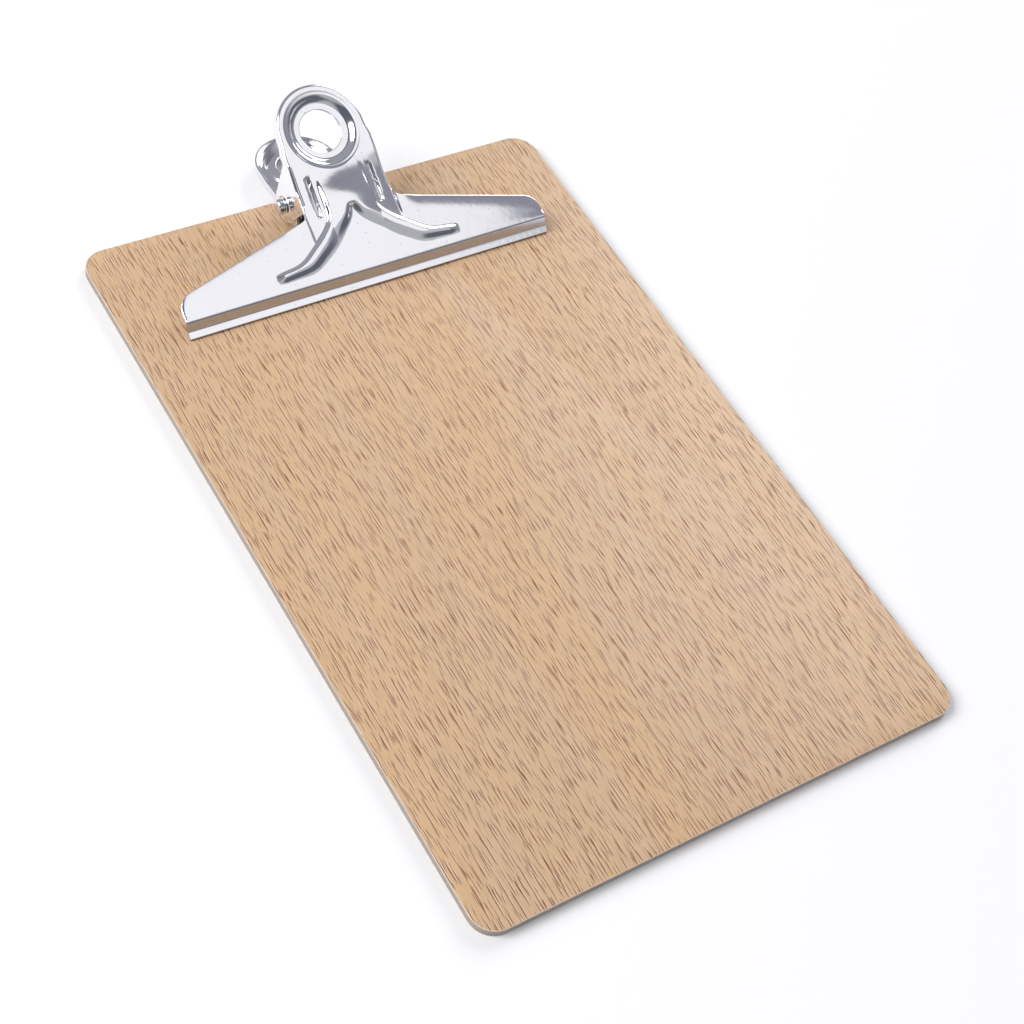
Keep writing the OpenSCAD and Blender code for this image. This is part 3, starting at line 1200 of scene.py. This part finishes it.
@dataclass(frozen=True)
class Jaw:
    """The upper jaw: lip, two wings, neck, cheeks and the upper ring handle, pressed from one sheet.

    Attributes:
        places: the shared places.
        sheet: thickness of the sheet.
        neck: half the width of the neck.
        fillet: radius between the neck and a wing.
        wing_side: height of a wing's straight side.
        wing_corner: radius of a wing's rear corner.
        rear_normal: direction across a wing's rear edge, in degrees.
        lip: (y behind the lip's front, height above the board) of the lip's end, the crease in it
            and the crease at the plate's front edge.
        lip_bends: bend radii of those two creases.
        slope: slope of the plate in degrees.
        emboss: height of the raised fork at the neck.
        outer: (x, s) of the corners of the fork's steep outer line.
        inner: (x, s) of the corners of its soft inner line.
        groove_x: place of the grooves beside the fork's stem.
        groove_s: where the grooves start and end.
        groove_depth: their depth.
        roll: how far the wings' rear edges roll down.
        droop: how far the wings' ends roll down.
        crown: how far the neck's sides fall away.
        finish: the plating, with painted shade on the lip's wall.
    """

    places: Places
    sheet: float = 0.8
    neck: float = 14.6
    fillet: float = 2.5
    wing_side: float = 2.6
    wing_corner: float = 5.5
    rear_normal: float = 75.3
    lip: tuple[tuple[float, float], ...] = ((0.0, 0.72), (1.75, 1.75), (3.0, 4.6))
    lip_bends: tuple[float, float] = (0.6, 1.1)
    slope: float = 28.0
    emboss: float = 1.4
    outer: tuple[tuple[float, float], ...] = ((7.9, 40.0), (7.9, 17.2), (12.2, 12.9), (21.2, 6.4),
                                              (32.0, 5.2))
    inner: tuple[tuple[float, float], ...] = ((0.0, 18.6), (1.4, 15.4), (8.6, 7.9), (17.6, 2.6), (32.0, 2.4))
    groove_x: float = 10.3
    groove_s: tuple[float, float] = (18.3, 30.6)
    groove_depth: float = 0.7
    roll: float = 0.4
    droop: float = 0.3
    crown: float = 0.8
    # The jaw's plating has painted shade on the lip's wall, at 0.55.
    finish: Plating = Plating("jaw_nickel_plate", (0.90, 0.90, 0.925), 0.06, dull=0.55)

    def rear_start(self) -> tuple[float, float]:
        """Finds where a wing's round rear corner ends and its sloping rear edge starts.

        Returns:
            The place's x and its distance s along the spine.
        """
        normal = math.radians(self.rear_normal)
        return (self.places.jaw_half - self.wing_corner * (1 - math.cos(normal)),
                self.wing_side + self.wing_corner * math.sin(normal))

    def fillet_s(self) -> float:
        """Finds the fillets' centres, where the neck starts.

        Returns:
            Their distance along the spine.
        """
        normal = math.radians(self.rear_normal)
        start_x, start_s = self.rear_start()
        centre_x = self.neck + self.fillet
        return start_s + (self.fillet + (start_x - centre_x) * math.cos(normal)) / math.sin(normal)

    def rear_edge(self, x: Array) -> Array:
        """Distance along the spine of a wing's rear edge at |x|.

        From the side inwards it is a quarter of a round corner, a sloping straight line, and the
        fillet that turns it into the neck.

        Args:
            x: distance to the right of the middle, at least the neck's half width.

        Returns:
            The distance s of the edge.
        """
        normal = math.radians(self.rear_normal)
        corner_x = self.places.jaw_half - self.wing_corner
        start_x, start_s = self.rear_start()
        centre_x = self.neck + self.fillet
        corner = self.wing_side + np.sqrt(np.maximum(self.wing_corner**2 - (x - corner_x) ** 2, 0.0))
        line = start_s + (start_x - x) * math.cos(normal) / math.sin(normal)
        curve = self.fillet_s() - np.sqrt(np.maximum(self.fillet**2 - (centre_x - x) ** 2, 0.0))
        turn_x = centre_x - self.fillet * math.cos(normal)
        return np.where(x > start_x, corner, np.where(x > turn_x, line, curve))

    def fork(self, side: Array, s: Array) -> Array:
        """Height of the raised fork: a panel on the neck whose two legs run out along the wings.

        It rises steeply at its outer line and falls slowly to its inner one: height times
        step(distance to the outer line + 0.25) times step(distance to the inner line / width).
        The height fades along the legs and up the neck.

        Args:
            side: distance from the middle.
            s: distance along the spine.

        Returns:
            The height at each point.
        """
        points = np.stack([side, s], -1)
        outer, inner = (rounded(np.array(line), 3.0) for line in (self.outer, self.inner))
        stem = self.outer[0][0]
        in_leg = np.where(side < stem, True, s < np.interp(side, outer[1:, 0], outer[1:, 1]))
        to_outer = np.where(in_leg, 1.0, -1.0) * distance_to(points, outer)
        over = s > np.interp(side, inner[:, 0], inner[:, 1])
        to_inner = np.where(over, 1.0, -1.0) * distance_to(points, inner)
        width = np.interp(side, [0.0, 3.0, 8.0, 20.0, 30.0], [1.6, 2.6, 4.6, 3.2, 1.6])
        share = np.interp(side, [0.0, 8.0, 20.0, 27.5, 30.5], [1.0, 0.76, 0.76, 0.6, 0.0])
        share = share + 0.24 * np.where(side < 8.0, side / 8.0 * (1 - side / 8.0), 0.0)
        fade = 1 - smooth((s - 21.0) / 11.0)
        return self.emboss * share * smooth(to_outer + 0.25) * smooth(to_inner / width) * fade

    def relief(self, x: Array, s: Array) -> Array:
        """Height of the plate: the fork, less the grooves and the rolled edges.

        A groove is a channel with a smooth section and short ends. The wings' rear edges and
        ends roll down, and the neck's sides fall away, as the square of the distance.

        Args:
            x: distance to the right of the middle.
            s: distance along the spine.

        Returns:
            The height at each point.
        """
        side = np.abs(x)
        groove = 1 - smooth((np.abs(side - self.groove_x) - 0.25) / 0.55)
        groove = groove * smooth((s - self.groove_s[0]) / 0.5) * smooth((self.groove_s[1] - s) / 0.5)
        in_front = self.rear_edge(np.maximum(side, self.neck)) - s
        roll = np.clip(1 - in_front / 4.5, 0.0, 1.0) ** 2 * smooth((side - 17.0) / 6.0)
        droop = np.clip((side - 44.0) / 16.0, 0.0, 1.0) ** 2
        plate = smooth(s / 2.5)
        crown = (side / 14.0) ** 2 * (side <= self.neck)
        crown = crown * smooth((s - 10.0) / 10.0) * smooth((35.0 - s) / 8.0)
        return (self.fork(side, s) - self.groove_depth * groove - self.roll * roll * plate
                - self.droop * droop * plate - self.crown * crown)

    def spine(self) -> Spine:
        """Draws the side view of the sheet: the lip, the crease and the sloping plate.

        Returns:
            The spine.
        """
        lip = [(self.places.lip + y, self.places.top + z) for y, z in self.lip]
        slope, length = math.radians(self.slope), 60.0
        end = (lip[-1][0] + length * math.cos(slope), lip[-1][1] + length * math.sin(slope))
        return Spine((*lip, end), self.lip_bends, len(lip) - 1, 1.0)

    def build(self, shop: Shop) -> None:
        """Builds and dresses the jaw.

        Columns of points run down the sheet, close together over the fork and the grooves, and
        rows run across it, from the wings' rear edges over the crease to the lip.

        Args:
            shop: the shared node groups.
        """
        start = self.fillet_s()
        handle = Handle(
            spine=self.spine(), sheet=self.sheet, neck=self.neck, start_s=start, wall_s=36.5, ring_s=43.0,
            taper=5.0, radius=13.9, hole=6.55, bend=0.95, rim=2.9, lean=0.116, dish=1.6, slope=(11.0, 8.2),
            pivot=self.places.pivot, bore=1.95, boss=5.3, relief=self.relief)
        sheet = PressedSheet(0.1)
        half = runs((0.0, 6.8, 15), (6.8, 11.8, 22), (11.8, self.neck, 7))
        front = np.concatenate([-half[:0:-1], half])
        outside = runs((self.neck, 16.5, 6), (16.5, 31.5, 44), (31.5, 55.9, 44), (55.9, 59.0, 7),
                       (59.0, 59.8, 3), (59.8, self.places.jaw_half, 2))[1:]
        columns = np.concatenate([-outside[::-1], front, outside])
        rear = np.where(np.abs(columns) > self.neck, self.rear_edge(np.abs(columns)), start)
        share = np.linspace(0.0, 1.0, 55)[:, None]
        low = 1.4
        plate = np.concatenate([np.stack([rear, rear - 0.16]), (rear - 0.4) + (low - rear + 0.4) * share])
        crease = runs((low, 0.42, 3), (0.42, -0.42, 8), (-0.42, -2.78, 6), (-2.78, -3.22, 6),
                      (-3.22, -4.9, 5), (-4.9, -5.19, 2))[1:, None]
        rows = np.concatenate([plate, np.broadcast_to(crease, (crease.size, columns.size))])
        handle.add_plate(sheet, np.broadcast_to(columns, rows.shape), rows)
        handle.add_ring(sheet, front)
        handle.add_walls(sheet)
        settle(sheet.build("jaw_pressing"), "upper_jaw", "jaw_nickel", self.finish.material(shop), Body.JAW)


@dataclass(frozen=True)
class BasePlate:
    """The base plate: riveted foot, strip, two ears and the lower ring handle, pressed from one sheet.

    Attributes:
        places: the shared places.
        foot_depth: distance from the foot's front edge to its rear edge.
        corner: radius of the foot's corners.
        sheet: thickness of the sheet.
        neck: half the width of the strip, over the ears.
        fillet: radius between the foot and the strip.
        strip_rear: distance from the foot's front edge to the start of the ears.
        overhang: distance from the board's edge to the bend of the handle.
        slope: slope of the handle below the level of the board, in degrees.
        rivet_hole: radius of a rivet's hole.
        finish: the plating.
    """

    places: Places
    foot_depth: float = 11.0
    corner: float = 3.0
    sheet: float = 0.8
    neck: float = 13.3
    fillet: float = 1.5
    strip_rear: float = 12.5
    overhang: float = 0.3
    slope: float = 7.0
    rivet_hole: float = 2.1
    finish: Plating = Plating("base_nickel_plate", (0.85, 0.85, 0.875), 0.10)

    def spine(self) -> Spine:
        """Draws the side view of the lower face: flat on the board, then sloping down behind it.

        Returns:
            The spine.
        """
        bend_y, top = self.places.edge + self.overhang, self.places.top
        slope, length = math.radians(self.slope), 40.0
        end = (bend_y + length * math.cos(slope), top - length * math.sin(slope))
        return Spine(((70.0, top), (bend_y, top), end), (6.0,), 1, -1.0)

    def foot(self) -> tuple[Array, Array, Array]:
        """Points of the foot and the strip, in rows across the plate from rear to front.

        The rear line is the foot's rear edge with round corners, a fillet and the strip's end.
        Points close to a rivet's hole are moved onto its circle, and those inside it are marked.

        Returns:
            x, y, and True where a point lies in a hole.
        """
        front, half = self.places.foot_front, self.places.foot_half
        rear_y, strip_y, straight = front + self.foot_depth, front + self.strip_rear, half - self.corner
        outside = runs((self.neck, self.neck + self.fillet, 6), (self.neck + self.fillet, straight, 24),
                       (straight, half - 0.4, 6), (half - 0.4, half, 4))[1:]
        columns = np.concatenate([-outside[::-1], self.front_x(), outside])
        side = np.abs(columns)
        round_part = np.maximum(side - straight, 0.0)
        inset = self.corner - np.sqrt(np.maximum(self.corner**2 - round_part**2, 0.0))
        turn = self.neck + self.fillet
        curve = strip_y - np.sqrt(np.maximum(self.fillet**2 - (turn - side) ** 2, 0.0))
        rear = np.where(side <= self.neck, strip_y, np.where(side < turn, curve, rear_y - inset))
        share = runs((0.0, 0.03, 2), (0.03, 0.97, 26), (0.97, 1.0, 2))[:, None]
        y = rear + (front + inset - rear) * share
        x = np.broadcast_to(columns, y.shape).copy()
        snap, centre = 0.22, np.sign(x) * self.places.rivets[0]
        reach = np.hypot(x - centre, y - self.places.rivets[1])
        near = np.abs(reach - self.rivet_hole) < snap
        scale = np.where(near, self.rivet_hole / np.maximum(reach, 1e-6), 1.0)
        x, y = centre + (x - centre) * scale, self.places.rivets[1] + (y - self.places.rivets[1]) * scale
        return x, y, reach < self.rivet_hole - snap

    def front_x(self) -> Array:
        """x of the points across the strip."""
        half = runs((0.0, self.neck, 27))
        return np.concatenate([-half[:0:-1], half])

    def build(self, shop: Shop) -> None:
        """Builds and dresses the base plate.

        Args:
            shop: the shared node groups.
        """
        bend_y = self.places.edge + self.overhang
        start = self.places.foot_front + self.strip_rear - bend_y
        handle = Handle(
            spine=self.spine(), sheet=self.sheet, neck=self.neck, start_s=start, wall_s=113.8 - bend_y,
            ring_s=10.4, taper=5.0, radius=12.9, hole=6.5, bend=1.0, rim=3.3, lean=0.545, dish=1.2,
            slope=(10.2, 7.8), pivot=self.places.pivot, bore=1.95, boss=4.6,
            relief=lambda x, s: np.zeros(np.broadcast(x, s).shape))
        sheet = PressedSheet(0.1)
        x, y, gap = self.foot()
        handle.add_plate(sheet, x, y - bend_y, gap=gap)
        handle.add_ring(sheet, self.front_x())
        handle.add_walls(sheet)
        settle(sheet.build("base_pressing"), "base_plate", "base_nickel", self.finish.material(shop),
               Body.BOARD)


@dataclass(frozen=True)
class Springs:
    """The two torsion springs on the hinge pin.

    Attributes:
        places: the shared places.
        coil: radius of the wire's middle line.
        wire: radius of the wire.
        inner_x: where the coil starts, on the side of the middle.
        pitch: distance between turns.
        sweep: degrees that the coil turns.
        lower_leg: length of the leg on the base plate.
        upper_leg: length of the leg under the upper handle.
        leg_slope: slope of the upper leg in degrees.
        sides: count of points round the wire.
        cap_steps: count of steps in each round end of the wire.
        finish: the metal.
    """

    places: Places
    coil: float = 4.75
    wire: float = 0.65
    inner_x: float = 5.4
    pitch: float = 1.42
    sweep: float = 142.0 + 360.0 * 4
    lower_leg: float = 9.0
    upper_leg: float = 17.0
    leg_slope: float = 38.0
    sides: int = 16
    cap_steps: int = 5
    finish: Plating = Plating("spring_steel", (0.66, 0.66, 0.69), 0.16, specks=0.4)

    def path(self) -> Array:
        """Middle line of the right spring's wire.

        The lower leg lies along Y, the coil is a helix about the pin that starts straight below
        it, and the upper leg leaves the helix where its direction has the leg's slope.

        Returns:
            The points, one row each.
        """
        turn = np.linspace(0.0, 1.0, 133)
        angle = np.radians(-90.0 - self.sweep * turn)
        yz = circle(np.array(self.places.pivot), self.coil, angle)
        coil = np.concatenate([(self.inner_x + self.pitch * self.sweep / 360 * turn)[:, None], yz], -1)
        step, slope = 0.4, math.radians(self.leg_slope)
        low = coil[0] + np.array([0.0, 1.0, 0.0]) * np.linspace(self.lower_leg, step, 12)[:, None]
        way = np.array([0.0, math.cos(slope), math.sin(slope)])
        high = coil[-1] + way * np.linspace(step, self.upper_leg, 20)[:, None]
        return np.concatenate([low, coil, high])

    def tube(self) -> tuple[Array, Array]:
        """The right spring's skin and its middle line with the round ends.

        A ring of points stands round each point of the path, across the wire. Its radius goes
        to zero over the wire's ends as a quarter of a circle does.

        Returns:
            The rings, as rings x sides x 3, and the middle line.
        """
        path = self.path()
        along = np.gradient(path, axis=0)
        along = along / np.linalg.norm(along, axis=1, keepdims=True)
        ends = np.cos(np.linspace(0.0, math.pi / 2, self.cap_steps + 1)[1:])
        cap = self.wire * np.sqrt(1 - ends**2)[:, None]
        radius = self.wire * np.concatenate([ends[::-1], np.ones(path.shape[0]), ends])
        radius[[0, -1]] = 0.0
        path = np.concatenate([(path[0] - along[0] * cap)[::-1], path, path[-1] + along[-1] * cap])
        along = np.concatenate([np.repeat(along[:1], self.cap_steps, 0), along,
                                np.repeat(along[-1:], self.cap_steps, 0)])
        up = np.cross(along, np.array([1.0, 0.0, 0.0]))
        up = up / np.linalg.norm(up, axis=1, keepdims=True)
        across = np.cross(along, up)
        angle = np.linspace(0.0, 2 * math.pi, self.sides, endpoint=False)[:, None]
        spoke = np.cos(angle) * up[:, None] + np.sin(angle) * across[:, None]
        return path[:, None] + radius[:, None, None] * spoke, path

    def build(self, shop: Shop) -> None:
        """Builds and dresses both springs, the left one a mirror image of the right one.

        Args:
            shop: the shared node groups.
        """
        material = self.finish.material(shop)
        rings, path = self.tube()
        middle = tuple(value * MM for value in self.places.pivot)
        for side in Side:
            points = rings.reshape(-1, 3) * np.array([side.value, 1.0, 1.0])
            kept, faces = weld(points, grid_faces(rings.shape[0], self.sides, closed=True))
            faces = faces if side is Side.RIGHT else faces[:, ::-1]
            label = side.name.lower()
            piece = new_object(f"torsion_spring_{label}", points[kept], faces)
            settle(piece, f"spring_{label}", "spring_wire", material, None)
            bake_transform(piece)


@dataclass(frozen=True)
class Fasteners:
    """The hinge pin, the two rivets and the washers under them.

    Attributes:
        places: the shared places.
        steps: count of points round a piece.
        pin_half: half the length of the pin over its heads, and between them.
        pin_radius: radius of the pin and of its heads, and how far a head is chamfered.
        rivet_head: radius and height of a rivet's head.
        head_z: height of the head's underside, on top of the base plate's sheet.
        rivet_shank: radius and foot of a rivet's shank.
        rivet_clinch: radius and foot of its clinched end.
        washer: inner and outer radius of a washer.
        washer_z: heights of its two faces.
        pin_finish: plating of the pin.
        rivet_finish: metal of the rivets.
        washer_finish: metal of the washers.
    """

    places: Places
    steps: int = 48
    pin_half: tuple[float, float] = (17.2, 14.8)
    pin_radius: tuple[float, float, float] = (1.9, 2.35, 0.4)
    rivet_head: tuple[float, float] = (3.6, 1.2)
    head_z: float = 3.8
    rivet_shank: tuple[float, float] = (2.0, 0.7)
    rivet_clinch: tuple[float, float] = (3.2, 0.1)
    washer: tuple[float, float] = (2.1, 5.0)
    washer_z: tuple[float, float] = (0.7, 1.4)
    pin_finish: Plating = Plating("pin_plate", (0.78, 0.785, 0.82), 0.14)
    rivet_finish: Plating = Plating("rivet_plate", (0.76, 0.76, 0.79), 0.2, specks=0.35)
    washer_finish: Plating = Plating("washer_zinc", (0.70, 0.70, 0.74), 0.3, specks=0.5)

    def at_rivets(self, name: str, profile: Array) -> bpy.types.Object:
        """Makes one piece of a profile turned about both rivets' axes.

        Args:
            name: the piece's name.
            profile: rows of height and radius.

        Returns:
            The new piece.
        """
        points, faces = turned(profile, self.steps)
        points = points[:, [1, 2, 0]]
        x, y = self.places.rivets
        copies = [points + np.array([side.value * x, y, 0.0]) for side in Side]
        return new_object(name, np.concatenate(copies),
                          np.concatenate([faces, faces + points.shape[0]]))

    def pin(self) -> bpy.types.Object:
        """Makes the pin: a shank between two chamfered heads.

        Returns:
            The new piece.
        """
        (end, neck), (shank, head, cut) = self.pin_half, self.pin_radius
        half = [(end, 0.0), (end, head - cut), (end - cut, head), (neck, head), (neck, shank)]
        profile = np.array(half + [(-x, r) for x, r in half[::-1]])
        points, faces = turned(rounded(profile, 0.25), self.steps)
        return new_object("headed_pin", points + np.array([0.0, *self.places.pivot]), faces[:, ::-1])

    def rivets(self) -> bpy.types.Object:
        """Makes the rivets: a clinched end, a shank and a head that is half an ellipse.

        Returns:
            The new piece.
        """
        (radius, height), (shank, foot), (clinch, low) = self.rivet_head, self.rivet_shank, self.rivet_clinch
        arc = circle((0.0, 0.0), 1.0, np.linspace(math.pi / 2, 0.0, 9))
        dome = np.array([self.head_z, 0.0]) + arc * np.array([height, radius])
        corners = np.array([(self.head_z, radius), (self.head_z, shank), (foot, shank), (foot, clinch),
                            (low, clinch), (low, 0.0)])
        return self.at_rivets("foot_rivets", np.concatenate([rounded(corners, 0.15)[::-1], dome[1:]]))

    def washers(self) -> bpy.types.Object:
        """Makes the washers, whose profile starts and ends in the middle of the outer wall.

        Returns:
            The new piece.
        """
        (bore, rim), (low, high) = self.washer, self.washer_z
        middle = ((low + high) / 2, rim)
        loop = np.array([middle, (low, rim), (low, bore), (high, bore), (high, rim), middle])
        return self.at_rivets("back_washers", rounded(loop, 0.15))

    def build(self, shop: Shop) -> None:
        """Builds and dresses the pin, the rivets and the washers.

        Args:
            shop: the shared node groups.
        """
        plan = ((self.pin(), "hinge_pin", "pin_steel", self.pin_finish),
                (self.rivets(), "base_rivets", "rivet_steel", self.rivet_finish),
                (self.washers(), "rivet_washers", "washer_steel", self.washer_finish))
        for piece, node, slot, finish in plan:
            settle(piece, node, slot, finish.material(shop), Body.BOARD)


@dataclass(frozen=True)
class Zone:
    """A soft patch of the sky.

    Attributes:
        towards: direction of its middle.
        edge: cosine of the angle from the middle at which it starts.
        full: cosine at which it is full.
        tone: its colour.
    """

    towards: tuple[float, float, float]
    edge: float
    full: float
    tone: Colour


@dataclass(frozen=True)
class Lamp:
    """A square soft light that faces the board's middle.

    Attributes:
        name: its name.
        place: where it hangs, in metres.
        size: length of its side in metres.
        power: its power in watts.
    """

    name: str
    place: tuple[float, float, float]
    size: float
    power: float

    def hang(self) -> None:
        """Adds the light to the scene."""
        data = bpy.data.lights.new(self.name, "AREA")
        data.shape, data.size, data.energy = "SQUARE", self.size, self.power
        obj = bpy.data.objects.new(self.name, data)
        bpy.context.scene.collection.objects.link(obj)
        turn = Vector(self.place).to_track_quat("Z", "Y").to_matrix().to_4x4()
        obj.matrix_world = Matrix.Translation(self.place) @ turn


@dataclass(frozen=True)
class Studio:
    """Camera, pale floor, soft sky and two large soft lights.

    Attributes:
        lens: focal length on a sensor 36 mm wide.
        eye: place of the camera in metres.
        right: direction to the right of the view.
        up: direction to the top of the view.
        ahead: direction of the view.
        floor_half: half the side of the floor in millimetres.
        floor_drop: how far the floor lies under the board.
        room: colour of the sky outside its zones.
        zones: the zones, each laid over those before it.
        lamps: the two lights.
    """

    lens: float = 67.486
    eye: tuple[float, float, float] = (-0.23809, -0.23175, 0.41733)
    right: tuple[float, float, float] = (0.83768, -0.50797, 0.20064)
    up: tuple[float, float, float] = (0.31738, 0.75172, 0.57809)
    ahead: tuple[float, float, float] = (0.44447, 0.42058, -0.79092)
    floor_half: float = 2500.0
    floor_drop: float = 0.05
    room: Colour = (0.115, 0.12, 0.145)
    zones: tuple[Zone, ...] = (
        Zone((0.1, 0.9, 0.42), 0.35, 0.85, (0.33, 0.33, 0.37)),
        Zone((0.75, 0.0, 0.66), 0.80, 0.93, (0.26, 0.265, 0.31)),
        Zone((0.4, -0.6, 0.69), 0.92, 0.97, (0.50, 0.50, 0.53)),
        Zone((-0.1, -0.82, 0.56), 0.90, 0.97, (0.45, 0.45, 0.48)),
        Zone((0.2, -0.29, 0.936), 0.936, 0.956, (0.98, 0.975, 1.0)))
    lamps: tuple[Lamp, ...] = (Lamp("key_light", (-2.0, 0.7, 1.8), 1.7, 73.0),
                               Lamp("fill_light", (2.1, 1.25, 1.3), 1.5, 33.0))

    def camera(self) -> None:
        """Places the camera."""
        data = bpy.data.cameras.new("studio_camera")
        data.lens = self.lens
        data.sensor_width = 36.0
        data.clip_start, data.clip_end = 0.01, 20.0
        obj = bpy.data.objects.new("studio_camera", data)
        bpy.context.scene.collection.objects.link(obj)
        axes = Matrix((self.right, self.up, tuple(-a for a in self.ahead))).transposed().to_4x4()
        obj.matrix_world = Matrix.Translation(self.eye) @ axes
        bpy.context.scene.camera = obj

    def floor(self) -> None:
        """Lays the pale floor under the board."""
        half = self.floor_half
        points = np.array([(-half, -half, 0.0), (half, -half, 0.0), (half, half, 0.0), (-half, half, 0.0)])
        floor = new_object("studio_floor", points - np.array([0.0, 0.0, self.floor_drop]),
                           np.array([[0, 1, 2, 3]]))
        material = bpy.data.materials.new("studio_floor")
        material.use_nodes = True
        wire = Wiring(material.node_tree)
        shader = wire.node("ShaderNodeBsdfPrincipled",
                           {"Base Color": (0.96, 0.96, 0.96, 1.0), "Roughness": 0.9})
        wire.node("ShaderNodeOutputMaterial", {"Surface": shader.outputs["BSDF"]})
        floor.data.materials.append(material)

    def sky(self) -> None:
        """Sets the soft sky: a dark room with soft bright and grey zones laid over one another.

        A zone's share is a smooth step of the cosine between its middle and the direction.
        """
        world = bpy.data.worlds.new("studio_sky")
        bpy.context.scene.world = world
        world.use_nodes = True
        wire = Wiring(world.node_tree)
        way = wire.node("ShaderNodeTexCoord", {}).outputs["Generated"]
        colour = (*self.room, 1.0)
        for zone in self.zones:
            along = wire.node("ShaderNodeVectorMath", {0: way, 1: zone.towards}, operation="DOT_PRODUCT")
            share = wire.ramp(along.outputs["Value"], zone.edge, zone.full)
            colour = wire.mix(share, colour, (*zone.tone, 1.0))
        background = wire.node("ShaderNodeBackground", {"Color": colour, "Strength": 1.0})
        wire.node("ShaderNodeOutputWorld", {"Surface": background.outputs[0]})

    def build(self) -> None:
        """Sets up the whole studio."""
        self.camera()
        self.floor()
        self.sky()
        for lamp in self.lamps:
            lamp.hang()
        bpy.context.scene.view_settings.view_transform = "Standard"


def main() -> None:
    """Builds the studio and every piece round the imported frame."""
    logging.basicConfig(level=logging.INFO, format="%(name)s: %(message)s")
    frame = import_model()
    places = Places.read(frame["joints"][0])
    shop = Shop()
    Studio().build()
    Board().build(frame["nodes"], shop)
    for assembly in (Jaw, BasePlate, Springs, Fasteners):
        assembly(places).build(shop)


if __name__ == "__main__":
    main()
